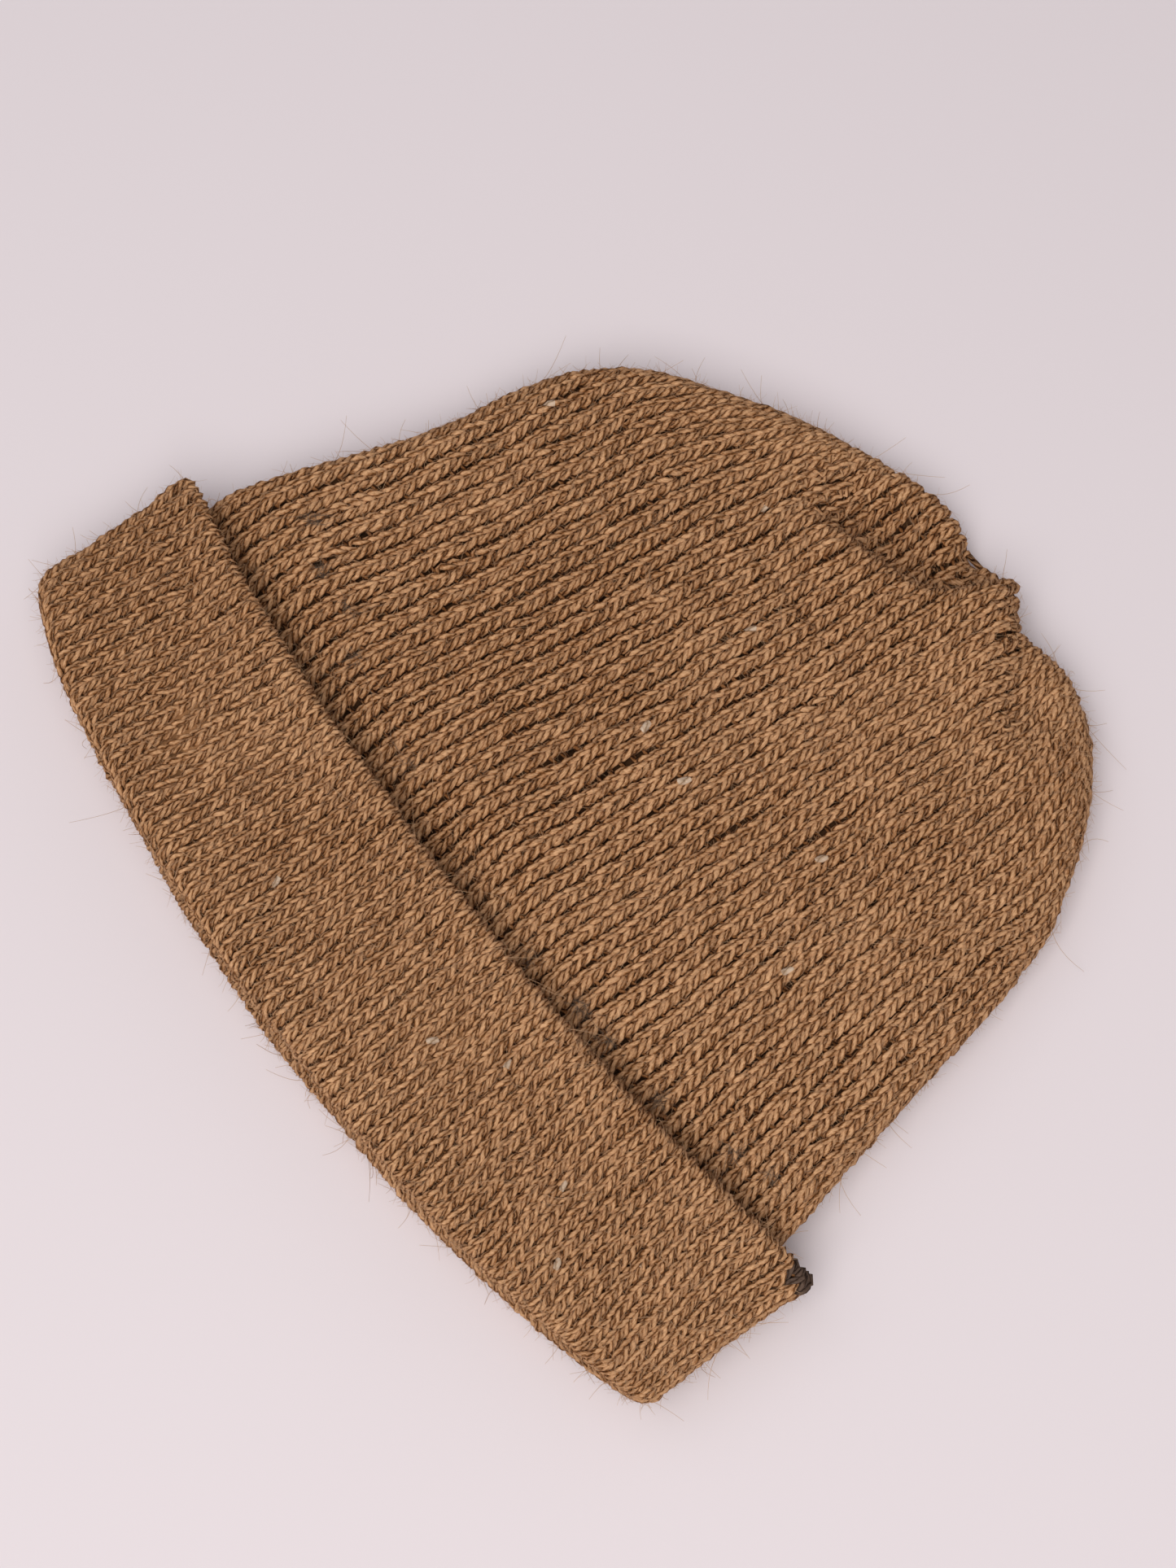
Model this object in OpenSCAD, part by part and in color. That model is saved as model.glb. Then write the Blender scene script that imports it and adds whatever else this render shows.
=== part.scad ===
// Knitted beanie with a turned-up cuff, lying flat on its back.
// The frame has +X across the hat, +Y from the brim fold to the crown and +Z up from the table.
// The origin is on the table, under the middle of the hat's box.

/* [Cuff] */
// Width of the flattened cuff, side fold to side fold
cuff_w = 230; // [210:1:250]
// Height of the cuff at the middle of the hat, from the brim fold to the hem
cuff_h = 49; // [40:1:60]
// Thickness of the whole stack at the cuff
cuff_thick = 26; // [24:0.5:30]
// How far the brim fold bows away from the crown at the middle
brim_bow = 16.5; // [0:0.5:20]
// How far the hem bows away from the crown at the middle
hem_bow = 11; // [0:0.5:14]

/* [Body] */
// Length from the brim fold to the tip of the crown
hat_l = 197; // [185:1:215]
// Width of the body where it goes into the cuff
body_w = 216; // [196:1:220]
// Width of the body at its shoulders, where the crown starts to round
shoulder_w = 177; // [160:1:190]
// Distance from the brim fold to the shoulders
shoulder_y = 140; // [130:1:150]
// Thickness of the body where it lies on the table
body_thick = 20; // [18:0.5:22]

/* [Fabric] */
// Thickness of one knitted layer
layer_t = 2; // [1.6:0.1:2.2]
// Clearance between layers that lie on each other
gap = 0.3; // [0.2:0.05:0.5]
// Diameter of the knitting yarn
yarn_d = 1.6; // [1.2:0.1:1.8]
// Loop size of the threads that draw the crown together
gather_r = 2.6; // [2.2:0.1:3]

/* [Hidden] */

stations = 48;         // points round each section
section_power = 2.8;   // 2 is an ellipse, larger is squarer
flat_bottom = 1.06;    // how far the rounded underside is cut back to lie flat
hem_half = 113;        // half-width at which the hem's bow is measured

// Cuff: insets are measured inwards from the cuff's outer face.
cuff_hw = cuff_w / 2;
cuff_hh = cuff_thick / 2;
cuff_bore = 2 * layer_t + gap;                 // inset of the face that goes round the body
body_hh = cuff_hh - cuff_bore - gap;           // half thickness of the body inside the cuff
lining_in = 2 * layer_t + gap - 0.2;           // inset of the lining's inner face from the body's
mouth_in = cuff_bore + gap + lining_in;        // inset of the rolled fold at the mouth
roll_r = mouth_in / 2;                         // radius of the fold's roll
roll_steps = 8;
fold_t = 4;                                    // depth of the fold at the mouth
hem_t = 1.6;                                   // depth of the turned edge at the hem

// Body: it is narrow and level inside the cuff, then comes down to lie on the table.
body_low = fold_t + 0.4;
settle_y0 = 62;                                // where it starts to come down
settle_y1 = 95;                                // where it has come down
taper_power = 1.25;                            // 1 is a straight taper to the shoulders
crown_power = 0.7;                             // how blunt the crown's outline is
tip_u = 0.99;                                  // the last section, as a share of the crown
straight_ys = [15, 30, 45, 54, 62, 69, 76, 84, 95, 110, 125];
crown_steps = 9;
lining_short = 9;                              // room left in the crown for the gathers
centre_y = hat_l / 2;

function smooth(a) = let (t = min(max(a, 0), 1)) t * t * (3 - 2 * t);
function power(v, p) = sign(v) * pow(abs(v), p);
function brim_y(x) = brim_bow * pow(x / cuff_hw, 2);
function hem_y(x) = cuff_h + hem_bow * pow(x / hem_half, 2);

// A section: a flattened round, cut flat where it would go below bottom
function section(hw, hh, zc, bottom) = [for (i = [0 : stations - 1])
    let (a = 360 * i / stations,
        up = power(sin(a), 2 / section_power),
        z = up > 0 ? hh * up : flat_bottom * hh * up)
    [hw * power(cos(a), 2 / section_power), max(bottom, zc + z)]];

// One ring of the cuff at an inset from its face and a height above the brim fold
function cuff_ring(inset, s) =
    [for (p = section(cuff_hw - inset, cuff_hh - inset, cuff_hh, inset))
        let (low = brim_y(p[0]))
        [p[0], low + s * (hem_y(p[0]) - low) / cuff_h - centre_y, p[1]]];

function body_half_w(y) = y < settle_y0 ? body_w / 2 :
    shoulder_w / 2 + (body_w - shoulder_w) / 2
        * pow(max(0, (shoulder_y - y) / (shoulder_y - settle_y0)), taper_power);
function body_half_h(y) =
    body_hh + (body_thick / 2 - body_hh) * smooth((y - settle_y0) / (settle_y1 - settle_y0));
function body_floor(y) =
    (cuff_hh - body_hh) * (1 - smooth((y - settle_y0) / (settle_y1 - settle_y0)));

// One ring of the body: u goes from 0 at the shoulders to 1 at the tip of the crown
function body_ring(inset, y, u) =
    let (hw = (body_half_w(min(y, shoulder_y)) - inset) * pow(1 - u * u, crown_power),
        hh = (body_half_h(y) - inset) * pow(1 - pow(u, 4), 0.5),
        zc = body_floor(y) + body_half_h(y),
        follow = 1 - smooth((y - 15) / (settle_y1 - 15)))
    [for (p = section(hw, hh, zc, body_floor(y) + inset))
        [p[0], y + follow * brim_y(p[0]) - centre_y, p[1]]];

// All rings of one face of the body, from the mouth to the tip
function body_face(inset, length) = concat(
    [body_ring(inset, body_low, 0)],
    [for (y = straight_ys) body_ring(inset, y, 0)],
    [for (i = [0 : crown_steps])
        let (u = sin(90 * i / crown_steps))
        body_ring(inset, shoulder_y + u * (length - shoulder_y), u * tip_u)]);

function reversed(list) = [for (i = [len(list) - 1 : -1 : 0]) list[i]];

// A closed skin through a list of rings: capped at both ends, or joined end to start
module skin(rings, capped) {
    n = stations;
    last = len(rings) - (capped ? 2 : 1);
    sides = [for (j = [0 : last], i = [0 : n - 1])
        let (a = j * n + i,
            b = j * n + (i + 1) % n,
            c = ((j + 1) % len(rings)) * n + (i + 1) % n,
            d = ((j + 1) % len(rings)) * n + i)
        each [[a, b, c], [a, c, d]]];
    caps = capped ? [[for (i = [n - 1 : -1 : 0]) i],
        [for (i = [0 : n - 1]) (len(rings) - 1) * n + i]] : [];
    polyhedron(points = [for (ring = rings) each ring], faces = concat(sides, caps), convexity = 10);
}

// A stitch or a yarn end: a round bar with round ends, standing along Z
module yarn_bar(length, d) {
    cylinder(h = length, d = d, center = true, $fn = 32);
    for (end = [-1, 1])
        translate([0, 0, end * length / 2]) sphere(d = d, $fn = 32);
}

// Outer knitted layer, closed at the crown
module body_outer() {
    color([0.62, 0.45, 0.30])
        skin(concat(reversed(body_face(layer_t, hat_l - layer_t)), body_face(0, hat_l)), true);
}

// Inner knitted layer, against the head
module body_lining() {
    length = hat_l - layer_t - lining_short;
    color([0.55, 0.39, 0.26])
        skin(concat(reversed(body_face(lining_in, length - layer_t)),
            body_face(layer_t + gap, length)), true);
}

// Visible layer of the cuff: it rolls over the mouth and turns in at the hem
module cuff_outer() {
    roll = [for (i = [0 : roll_steps])
        let (a = 180 * i / roll_steps)
        [roll_r * (1 - cos(a)), fold_t * (1 - sin(a))]];
    inside = [[mouth_in, fold_t + 0.01], [layer_t, fold_t + 0.01], [layer_t, cuff_h - hem_t],
        [cuff_bore, cuff_h - hem_t], [cuff_bore, cuff_h - 0.5], [layer_t, cuff_h], [0.4, cuff_h - 0.5],
        [0, cuff_h - hem_t], [0, cuff_h / 2]];
    profile = [for (i = [0 : len(roll) - 2]) roll[i]];
    color([0.66, 0.48, 0.32])
        skin([for (p = reversed(concat(profile, inside))) cuff_ring(p[0], p[1])], false);
}

// Hidden layer of the cuff, between the visible layer and the body
module cuff_inner() {
    low = fold_t + gap;
    high = cuff_h - hem_t - gap;
    profile = [[layer_t + gap, low], [layer_t + gap, high], [cuff_bore, high], [cuff_bore, low]];
    color([0.52, 0.37, 0.24])
        skin([for (p = profile) cuff_ring(p[0], p[1])], false);
}

// A thread drawn round in a ring, at a distance from the brim fold
module gather(y) {
    translate([0, y - centre_y, body_thick / 2])
        rotate([90, 0, 0])
            rotate_extrude($fn = 64)
                translate([gather_r, 0])
                    circle(d = yarn_d, $fn = 32);
}

// Thread that draws the outer layer together
module crown_gather_yarn() {
    color([0.42, 0.28, 0.17]) gather(hat_l - layer_t - 4.4);
}

// Thread that draws the lining together
module lining_gather_yarn() {
    color([0.42, 0.28, 0.17]) gather(hat_l - layer_t - lining_short + 1.6);
}

// Sewn-in end of the yarn, lying between the two layers at the crown
module yarn_tail() {
    tail_l = 16;
    color([0.45, 0.31, 0.19])
        translate([gather_r + yarn_d + 2 + tail_l / 2, hat_l - layer_t - lining_short + 1.8 - centre_y,
            body_thick / 2])
            rotate([0, 90, 0])
                yarn_bar(tail_l, yarn_d);
}

// Dark contrasting stitches at one side of the hem
module edge_stitches() {
    stitch_d = 1.9;
    stitch_pitch = 2.2;
    stitch_x = cuff_hw - stitch_d - 1.2;
    color([0.16, 0.10, 0.07])
        for (row = [0, 1], place = [0, 1])
            translate([stitch_x + (place - 0.2) * stitch_pitch,
                hem_y(cuff_hw) + 0.7 + row * stitch_pitch - centre_y, cuff_hh + 1 - row])
                yarn_bar(4, stitch_d);
}

body_outer();
body_lining();
cuff_outer();
cuff_inner();
crown_gather_yarn();
lining_gather_yarn();
yarn_tail();
edge_stitches();
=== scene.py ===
"""Knitted beanie with a turned-up cuff, lying flat on a pale table.

Every visible stitch is a loop of yarn: each row of knitting is one tube of mesh that follows the
loops' path over the body, the cuff or the lining. Lengths are in millimetres until metres() turns
them into the frame's own units. In these working coordinates x runs across the hat, y from the
brim fold to the crown, and z up from the table.
"""
import math

import bpy
import numpy as np
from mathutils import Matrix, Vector


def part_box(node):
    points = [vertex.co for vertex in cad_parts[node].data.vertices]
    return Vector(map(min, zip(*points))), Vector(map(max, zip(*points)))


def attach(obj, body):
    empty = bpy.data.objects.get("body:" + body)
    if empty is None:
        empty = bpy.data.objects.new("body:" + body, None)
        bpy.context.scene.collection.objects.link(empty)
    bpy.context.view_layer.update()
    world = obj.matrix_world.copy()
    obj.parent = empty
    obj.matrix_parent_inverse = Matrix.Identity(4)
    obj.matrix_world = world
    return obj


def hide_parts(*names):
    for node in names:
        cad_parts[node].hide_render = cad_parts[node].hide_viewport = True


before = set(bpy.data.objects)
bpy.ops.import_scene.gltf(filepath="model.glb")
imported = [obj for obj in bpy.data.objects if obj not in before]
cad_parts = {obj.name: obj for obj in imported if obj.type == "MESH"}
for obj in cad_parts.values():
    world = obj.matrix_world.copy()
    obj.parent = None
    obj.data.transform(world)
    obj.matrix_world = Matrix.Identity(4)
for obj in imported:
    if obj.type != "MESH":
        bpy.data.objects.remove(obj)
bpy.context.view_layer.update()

MM = 0.001

# ---------------------------------------------------------------- sizes taken from the frame

cuff_low, cuff_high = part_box("cuff_outer")
body_low, body_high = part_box("body_outer")

BRIM_Y = cuff_low.y / MM                          # where y = 0 lies in the frame
HAT_L = (body_high.y - cuff_low.y) / MM
CUFF_HALF = (cuff_high.x - cuff_low.x) / MM / 2
CUFF_HIGH = cuff_high.z / MM
BODY_HALF = (body_high.x - body_low.x) / MM / 2

# The cuff's plan: both its edges bow away from the crown at the middle.
CUFF_H = 49.0
BRIM_BOW = 15.3
HEM_BOW = 11.0
HEM_HALF = 113.0                                  # half-width at which the hem's bow is measured
SECTION_POWER = 2.8                               # 2 is an ellipse, larger is squarer

# The body's plan
HEM_Y = 62.0                                      # where it starts to come down to the table
SETTLE_Y = 95.0                                   # where it has come down
SHOULDER_Y = 140.0
SHOULDER_HALF = 88.5
TOP_Z = 19.8                                      # middle of the upper face's yarn, inside the cuff
YARN_SIT = 1.5                                    # middle of the underside's yarn, on the table
BODY_SIT = 4.6                                    # how much higher it lies inside the cuff
LINING_HALF_H = 8.4
MOUTH_TUCK = 2.2                                  # how much slimmer the body is at its mouth
MOUTH_BOW = 3.5                                   # how much more the mouth bows than the hem

# Gauge of the knitting
BODY_WALE = 4.5
BODY_ROW = 2.93
CUFF_WALES = 132
CUFF_ROW = 2.54
BODY_YARN = 0.75                                  # yarn radius
CUFF_YARN = 0.64
LINING_YARN = 0.62
BODY_DEPTH = 0.62                                 # how far a loop weaves in and out of its fabric
CUFF_DEPTH = 0.55
LINING_DEPTH = 0.3
BODY_LOOP = (0.240, 0.058)                        # a loop's legs, in wales: how far they swing, and
CUFF_LOOP = (0.255, 0.040)                        # how far they close in on their column
LOOP_TALL = 1.04                                  # half-height of a loop, in rows
SIDES = 6
PLY_PITCH = 3.3                                   # the yarn's plies, measured along it

EDGE_R = 7.5                                      # radius of the body's folded edges
EDGE_SHARE = 0.42                                 # height of that edge, between underside and top
YARN_INSET = 1.0                                  # from the outline to the middle of the yarn


def metres(points):
    """Working millimetres to the frame's metres."""
    out = np.array(points, dtype=np.float64)
    out[..., 1] += BRIM_Y
    return out * MM


def smooth(v):
    t = np.clip(v, 0.0, 1.0)
    return t * t * (3 - 2 * t)


def waves(x, y, scale, seed, count=9):
    """Smooth noise between about -1 and 1: a sum of plane waves of about the given length."""
    r = np.random.default_rng(seed)
    total = np.zeros(np.broadcast(x, y).shape)
    for _ in range(count):
        angle, phase = r.uniform(0, 2 * math.pi, 2)
        k = 2 * math.pi / (scale * r.uniform(0.6, 1.6))
        total = total + np.sin(k * (x * math.cos(angle) + y * math.sin(angle)) + phase)
    return total / math.sqrt(count) * 0.8


# ---------------------------------------------------------------- the body's outline and heights


def spline(points, step):
    """Points along a Catmull-Rom curve through the given ones, about a step apart."""
    p = np.array(points, dtype=float)
    p = np.vstack([2 * p[0] - p[1], p, 2 * p[-1] - p[-2]])
    out = []
    for i in range(1, len(p) - 2):
        n = max(2, int(np.linalg.norm(p[i + 1] - p[i]) / step))
        t = (np.arange(n) / n)[:, None]
        out.append(0.5 * (2 * p[i] + (p[i + 1] - p[i - 1]) * t
                          + (2 * p[i - 1] - 5 * p[i] + 4 * p[i + 1] - p[i + 2]) * t ** 2
                          + (3 * p[i] - p[i - 1] - 3 * p[i + 1] + p[i + 2]) * t ** 3))
    return np.vstack(out + [p[-2][None]])


def moved_in(line, distance):
    """A line moved sideways to its right."""
    d = np.gradient(line, axis=0)
    d /= np.linalg.norm(d, axis=1)[:, None]
    return line + distance * np.stack([d[:, 1], -d[:, 0]], 1)


# From the left of the mouth, over the crown with its raised tab, to the right of the mouth
OUTLINE = moved_in(spline(
    [(-BODY_HALF + MOUTH_TUCK, -25), (-BODY_HALF + MOUTH_TUCK, 22), (-BODY_HALF, 40),
     (-107.5, HEM_Y), (-104, 78), (-96.8, 101), (-92.5, 118), (-90.5, 133),
     (-85.5, 149), (-76.5, 162), (-64, 171), (-49, 180.5), (-31, 188.5), (-13, 195.3), (0, 196), (6, 193.4),
     (10, 197), (15, 197.8), (21, 194.4), (27.5, 190.3), (40, 192), (53, 187.5), (63, 180.5), (71, 172),
     (79, 160.5), (86.5, 147), (92, 124.5), (96.5, 100), (100.5, 80), (104.5, 63),
     (BODY_HALF, 40), (BODY_HALF - MOUTH_TUCK, 22), (BODY_HALF - MOUTH_TUCK, -25)],
    1.2), YARN_INSET)


def to_outline(x, y):
    """Signed distance inside the outline, the nearest outline point, and the inward direction."""
    p = np.stack([x.ravel(), y.ravel()], 1)
    a, b = OUTLINE[:-1], OUTLINE[1:]
    seg = b - a
    length2 = (seg ** 2).sum(1)
    best = np.empty(len(p), dtype=int)
    for i in range(0, len(p), 20000):
        q = p[i:i + 20000]
        d2 = ((q[:, None, :] - OUTLINE[None]) ** 2).sum(2)
        best[i:i + 20000] = d2.argmin(1)
    near, dist = None, None
    for k in (np.clip(best - 1, 0, len(seg) - 1), np.clip(best, 0, len(seg) - 1)):
        t = np.clip(((p - a[k]) * seg[k]).sum(1) / length2[k], 0, 1)
        q = a[k] + seg[k] * t[:, None]
        d = np.linalg.norm(p - q, axis=1)
        side = seg[k, 0] * (p - a[k])[:, 1] - seg[k, 1] * (p - a[k])[:, 0]
        d_signed = np.where(side < 0, d, -d)
        inward = np.stack([seg[k, 1], -seg[k, 0]], 1) / np.sqrt(length2[k])[:, None]
        if near is None:
            near, dist, direction = q, d_signed, inward
        else:
            closer = np.abs(d_signed) < np.abs(dist)
            near = np.where(closer[:, None], q, near)
            direction = np.where(closer[:, None], inward, direction)
            dist = np.where(closer, d_signed, dist)
    shape = x.shape
    return (dist.reshape(shape), near[:, 0].reshape(shape), near[:, 1].reshape(shape),
            direction[:, 0].reshape(shape), direction[:, 1].reshape(shape))


def body_half(y):
    """Half-width of the body up to its shoulders."""
    t = np.clip((SHOULDER_Y - y) / (SHOULDER_Y - HEM_Y), 0, 1)
    return SHOULDER_HALF + (BODY_HALF - SHOULDER_HALF) * t ** 1.25


def crown_share(y):
    """Width of the crown as a share of the shoulders' width."""
    u = np.clip((y - SHOULDER_Y) / (HAT_L - SHOULDER_Y), 0, 0.985)
    return (1 - u * u) ** 0.7


FOLD_FLOOR = 2.5                                  # flat strip down a fold's wider side


def crease(x, y, points, depth, near_side, far_side):
    """A fold's valley along a line; near_side and far_side are its widths to the right and left."""
    line = spline(points, 1.0)
    d = np.gradient(line, axis=0)
    d /= np.linalg.norm(d, axis=1)[:, None]
    shape = x.shape
    p = np.stack([x.ravel(), y.ravel()], 1)
    d2 = ((p[:, None, :] - line[None]) ** 2).sum(2)
    k = d2.argmin(1)
    off = p - line[k]
    side = d[k, 0] * off[:, 1] - d[k, 1] * off[:, 0]
    dist = np.sqrt(d2[np.arange(len(p)), k])
    along = k / (len(line) - 1)
    width = np.where(side > 0, far_side, near_side)
    flat = np.where(width == max(near_side, far_side), FOLD_FLOOR, 0.0)
    fall = np.exp(-(np.clip(dist - flat, 0, None) / width) ** 2)
    ends = smooth(along / 0.45)
    return (depth * ends * fall).reshape(shape)


def hem_groove(x, y):
    """How far the hem presses the body in: a sharp dip beyond the hem and a broader one."""
    hem = CUFF_H + HEM_BOW * (x / HEM_HALF) ** 2
    past = np.clip(y - hem, 0, None)
    before = np.clip(hem - y, 0, None)
    depth = 5.6 * np.exp(-past / 6.5) + 2.6 * np.exp(-(past / 18) ** 2)
    return depth * np.exp(-(before / 9.5) ** 2)


def mouth_tuck(x, y):
    """How much lower the upper face lies at the mouth, most at the sides."""
    share = 0.3 + 0.7 * (x / BODY_HALF) ** 2
    past = y - (HEM_BOW + MOUTH_BOW) * (x / HEM_HALF) ** 2 - 14
    return MOUTH_TUCK * share * (1 - smooth(past / 14))


def crown_folds(x, y):
    """Depth of the crown's folds: the pocket beside the raised tab, and the crease on its right."""
    pocket = [(-32, 167), (-21, 171.5), (-10, 175), (0, 177.8), (7.5, 182), (11.5, 189), (14, 202)]
    right = [(50, 165), (42, 174), (35, 181), (31.5, 187), (30, 196)]
    dip = crease(x, y, pocket, depth=12.2, near_side=2.8, far_side=10.5)
    dip += crease(x, y, right, depth=3.2, near_side=9.0, far_side=3.4)
    dip -= 2.6 * np.exp(-((x - 19) / 11) ** 2 - ((y - 184) / 13) ** 2)
    dip += 1.8 * np.exp(-((x + 6) / 26) ** 2 - ((y - 150) / 10) ** 2)
    return dip


def height_top(x, y):
    """Height of the body's upper face, at the middle of the yarn."""
    z = TOP_Z - 1.5 * smooth((y - HEM_Y) / (SETTLE_Y - HEM_Y))
    z = z - 2.6 * smooth((y - 105) / 85)
    z = z - 2.4 * np.abs(np.clip(x / body_half(y), -1.1, 1.1)) ** 2.4
    z = z - hem_groove(x, y) - mouth_tuck(x, y)
    z = z + smooth((y - 55) / 25) * (0.75 * waves(x, y, 60, 11) + 0.35 * waves(x, y, 26, 12))
    near_crown = (y > 150) & (np.abs(x) < 75)
    if near_crown.any():
        z[near_crown] -= crown_folds(x[near_crown], y[near_crown])
    return z


def height_bottom(x, y):
    """Height of the body's underside, at the middle of the yarn."""
    in_cuff = 1 - smooth((y - HEM_Y) / (SETTLE_Y - HEM_Y))
    return YARN_SIT + in_cuff * (BODY_SIT + 3.6 * smooth((np.abs(x) - 76) / 34))


def over_edge(x, y, top):
    """Lays a point of the flat fabric over the body: edges roll round to the body's half height."""
    d, qx, qy, nx, ny = to_outline(x, y)
    turn = np.clip((EDGE_R - d) / EDGE_R, 0, None)
    inside = turn <= math.pi / 2
    turn = np.minimum(turn, math.pi / 2)
    rolled = turn > 0
    step = EDGE_R * (1 - np.sin(turn))
    px = np.where(rolled, qx + nx * step, x)
    py = np.where(rolled, qy + ny * step, y)
    upper = height_top(px, py)
    lower = height_bottom(px, py)
    middle = lower + EDGE_SHARE * (upper - lower)
    face = upper if top else lower
    pz = middle + (face - middle) * np.cos(turn)
    return np.stack([px, py, pz], -1), inside


# ---------------------------------------------------------------- where each stitch lies

# Places where two neighbouring columns part and leave a ladder of dark holes: x, y and length
LADDERS = [(2, 97, 9), (-78, 76, 8), (-8, 88, 6), (-86, 86, 7), (28, 107, 8), (-37, 71, 7), (-60, 98, 10),
           (40, 122, 9), (-25, 128, 8), (62, 92, 6), (15, 140, 7), (-48, 150, 7)]


def body_lattice(a, b, top):
    """Column a and distance b along the hat to a place on the flat fabric."""
    seed = 21 if top else 31
    flat = BODY_WALE * (1.06 * a - 0.8 * np.log(np.cosh((a + 3) / 8) / math.cosh(3 / 8)))
    close = 0.6 + 0.3 * np.tanh(flat / 50)
    taper = 1 - close * (1 - body_half(b) / BODY_HALF)
    wander = 0.55 * waves(flat, b, 34, seed) + 0.25 * waves(flat, b, 13, seed + 1)
    sway = 0.5 * waves(flat, b, 40, seed + 2)
    x0 = flat * taper
    bow = HEM_BOW * (1 - 0.5 * smooth((b - 120) / 60)) + MOUTH_BOW * (1 - smooth((b - 6) / 46))
    y = b + bow * (x0 / HEM_HALF) ** 2 + sway
    reach = smooth((np.abs(x0) / BODY_HALF - 0.10) / 0.75)
    pull = 1 - 0.66 * reach * (1 - crown_share(y))
    lean = 0.11 * np.clip(y - HEM_Y, 0, 50) + 0.055 * np.clip(y - HEM_Y - 50, 0, 100)
    x = lean + flat * (1 - close * (1 - body_half(y) / BODY_HALF)) * pull + wander
    part = np.zeros_like(x)
    for i, (lx, ly, length) in enumerate(LADDERS):
        off = x - lx - 0.11 * (y - ly)
        fade = np.exp(-np.abs(off) / 3.2) * np.exp(-((y - ly) / length) ** 4)
        part += 0.72 * np.tanh(off / 0.5) * fade
    return x + (part if top else 0), y


def body_surface(top):
    def place(a, b):
        x, y = body_lattice(a, b, top)
        return over_edge(x, y, top)
    return place


def section(half_w, half_h, angle, floor):
    """A flattened round across the hat, cut flat underneath."""
    c, s = np.cos(angle), np.sin(angle)
    x = half_w * np.sign(c) * np.abs(c) ** (2 / SECTION_POWER)
    z = np.sign(s) * np.abs(s) ** (2 / SECTION_POWER) * half_h
    z = np.where(s > 0, z, 1.06 * z)
    return x, np.maximum(floor, CUFF_HIGH / 2 + z)


def by_length(half_w, half_h):
    """A table that turns a share of the section's length into its angle."""
    angle = np.linspace(0, 2 * math.pi, 4001)
    x, z = section(half_w, half_h, angle, CUFF_HIGH / 2 - half_h)
    run = np.concatenate([[0], np.cumsum(np.hypot(np.diff(x), np.diff(z)))])
    return run / run[-1], angle, run[-1]


CUFF_SKIN = 1.4                                   # inset of the middle of the cuff's yarn
ROLL_R = 2.95                                     # brim fold
ROLL_Y = 3.9
HEM_R = 0.95                                      # turned edge
CUFF_TABLE = by_length(CUFF_HALF - CUFF_SKIN, CUFF_HIGH / 2 - CUFF_SKIN)
ROLL_LEN = math.pi * ROLL_R
FACE_LEN = CUFF_H - ROLL_Y - 1.7
HEM_LEN = math.pi * HEM_R
CUFF_RUN = ROLL_LEN + FACE_LEN + HEM_LEN + 2 * CUFF_ROW


def cuff_profile(run):
    """Distance along the cuff's wall, from inside the mouth to the hem: inset and height."""
    beta = np.clip(run / ROLL_R, 0, math.pi)
    inset = CUFF_SKIN + ROLL_R + ROLL_R * np.cos(beta)
    s = ROLL_Y - (ROLL_Y - CUFF_SKIN) * np.sin(beta)
    s = s + np.clip(run - ROLL_LEN, 0, FACE_LEN)
    share = np.clip((run - ROLL_LEN) / FACE_LEN, 0, 1)
    inset = inset + 0.4 * np.sin(math.pi * share) - 0.2 - 0.9 * smooth((share - 0.75) / 0.25)
    gamma = np.clip((run - ROLL_LEN - FACE_LEN) / HEM_R, 0, math.pi)
    back = np.clip(run - ROLL_LEN - FACE_LEN - HEM_LEN, 0, None)
    return inset + HEM_R * (1 - np.cos(gamma)), s + 1.1 * HEM_R * np.sin(gamma) - back


def cuff_edges(x, s):
    """Where the cuff's brim and hem lie across the hat; the brim's corners are rounded."""
    corner = np.where(x < 0, 5.0, 1.5) * (np.abs(x) / CUFF_HALF) ** 16
    brim = BRIM_BOW * (x / CUFF_HALF) ** 2 + corner * (1 - smooth(s / 30))
    return brim, CUFF_H + HEM_BOW * (x / HEM_HALF) ** 2


def cuff_surface(a, run):
    """Column a and distance along the wall to a place on the cuff."""
    inset, s = cuff_profile(run)
    share = a / CUFF_WALES
    flat = share * CUFF_TABLE[2]
    share = share + (0.35 * waves(flat, run, 22, 41) + 0.2 * waves(flat, run, 9, 42)) / CUFF_TABLE[2]
    angle = np.interp(share % 1.0, CUFF_TABLE[0], CUFF_TABLE[1])
    across = np.sign(np.cos(angle)) * np.abs(np.cos(angle)) ** (2 / SECTION_POWER)
    fan = -(0.21 * across + 0.04) * (s - CUFF_H / 2) * (1 - across ** 6) + 8 * (1 - across ** 2)
    share = share - np.sign(np.sin(angle)) * fan / CUFF_TABLE[2]
    angle = np.interp(share % 1.0, CUFF_TABLE[0], CUFF_TABLE[1])
    x, z = section(CUFF_HALF - inset, CUFF_HIGH / 2 - inset, angle, np.maximum(inset, CUFF_SKIN))
    upper = smooth((z - CUFF_HIGH / 2) / 5)
    z = z + upper * (0.7 * waves(x, s, 55, 43) + 0.3 * waves(x, s, 20, 44) - 0.3)
    low, high = cuff_edges(x, s)
    y = low + s * (high - low) / CUFF_H + 0.5 * waves(x, z * 0.5, 45, 45)
    return np.stack([x, y, z], -1), np.ones(x.shape, dtype=bool)


LINING_WALES = 112
LINING_IN = 3.2                                   # from the body's face to the lining's yarn
LINING_TABLE = by_length(BODY_HALF - LINING_IN, LINING_HALF_H - LINING_IN)


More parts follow.
